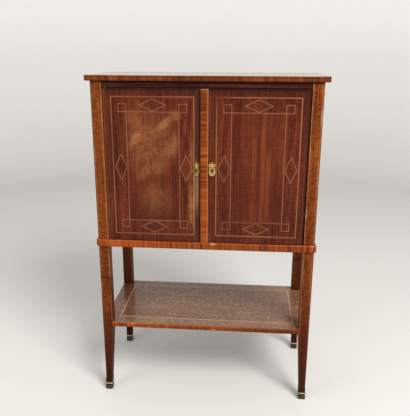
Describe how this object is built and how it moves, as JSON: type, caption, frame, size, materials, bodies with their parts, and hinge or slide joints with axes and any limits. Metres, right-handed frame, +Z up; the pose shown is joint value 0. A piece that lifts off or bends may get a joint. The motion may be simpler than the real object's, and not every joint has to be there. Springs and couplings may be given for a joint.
{
  "type": "inlaid cabinet",
  "caption": "Two-door mahogany cabinet with line and lozenge inlay, on tapered legs with brass sabots and a lower shelf.",
  "frame": {"origin": "on the floor, under the middle of the cabinet", "axes": "+X to the viewer's right, +Y from the doors to the back, +Z up"},
  "size_m": [0.808, 0.4, 1.2],
  "materials": {
    "mahogany": "dark red-brown mahogany, french polished",
    "crossbanding": "orange-brown cross-grained banding, french polished",
    "light_stringing": "pale stringing under aged polish",
    "lozenge_veneer": "dark figured veneer, french polished",
    "secondary_wood": "plain planed wood, unpolished",
    "brass": "polished brass with light patina",
    "steel": "plain steel"
  },
  "bodies": {
    "carcase": {"corner_post_front_left": "mahogany", "corner_post_front_right": "mahogany", "corner_post_back_left": "mahogany", "corner_post_back_right": "mahogany", "sabot_front_left": "brass", "sabot_front_right": "brass", "sabot_back_left": "brass", "sabot_back_right": "brass", "sabot_pins": "brass", "top_board": "mahogany", "top_edge_strips": "crossbanding", "front_top_rail": "mahogany", "back_top_rail": "mahogany", "left_top_rail": "mahogany", "right_top_rail": "mahogany", "front_bottom_rail": "mahogany", "back_bottom_rail": "mahogany", "left_bottom_rail": "mahogany", "right_bottom_rail": "mahogany", "belt_moulding": "crossbanding", "left_side_panel": "mahogany", "right_side_panel": "mahogany", "back_panel": "secondary_wood", "bottom_board": "secondary_wood", "glue_blocks": "secondary_wood", "door_stop": "mahogany", "top_board_screws": "steel", "interior_shelf": "mahogany", "shelf_pins": "brass", "lower_shelf": "mahogany", "lower_shelf_edge_strips": "crossbanding", "lower_shelf_string_lines": "light_stringing", "lower_shelf_dowels": "secondary_wood", "carcase_pivot_leaves": "brass", "pivot_washers": "brass", "carcase_pivot_screws": "brass", "bolt_keepers": "brass", "keeper_screws": "brass"},
    "left_door": {"left_door_board": "mahogany", "left_door_inlay_lines": "light_stringing", "left_door_lozenges": "lozenge_veneer", "left_escutcheon": "brass", "left_door_pivot_leaves": "brass", "left_door_pivot_screws": "brass", "strike_plate": "brass", "slide_bolt_plates": "brass", "left_door_fitting_screws": "brass"},
    "right_door": {"right_door_board": "mahogany", "right_door_inlay_lines": "light_stringing", "right_door_lozenges": "lozenge_veneer", "meeting_strip": "crossbanding", "right_escutcheon": "brass", "right_door_pivot_leaves": "brass", "right_door_pivot_screws": "brass", "lock_case": "brass", "lock_back_plate": "brass", "lock_screws": "brass"},
    "lock_bolt_body": {"lock_bolt": "brass"},
    "top_slide_bolt_body": {"top_slide_bolt": "brass"},
    "bottom_slide_bolt_body": {"bottom_slide_bolt": "brass"}
  },
  "joints": [
    {"name": "left_door_hinge", "type": "hinge", "parent": "carcase", "child": "left_door", "pos_m": [-0.3375, -0.1805, 0.893], "axis": [0, 0, 1], "range_deg": [-90, 0]},
    {"name": "right_door_hinge", "type": "hinge", "parent": "carcase", "child": "right_door", "pos_m": [0.3375, -0.1805, 0.893], "axis": [0, 0, 1], "range_deg": [0, 90]},
    {"name": "lock_bolt_slide", "type": "slide", "parent": "right_door", "child": "lock_bolt_body", "axis": [-1, 0, 0], "range_m": [0, 0.009]},
    {"name": "top_slide_bolt_slide", "type": "slide", "parent": "left_door", "child": "top_slide_bolt_body", "axis": [0, 0, 1], "range_m": [0, 0.012]},
    {"name": "bottom_slide_bolt_slide", "type": "slide", "parent": "left_door", "child": "bottom_slide_bolt_body", "axis": [0, 0, -1], "range_m": [0, 0.012]}
  ]
}
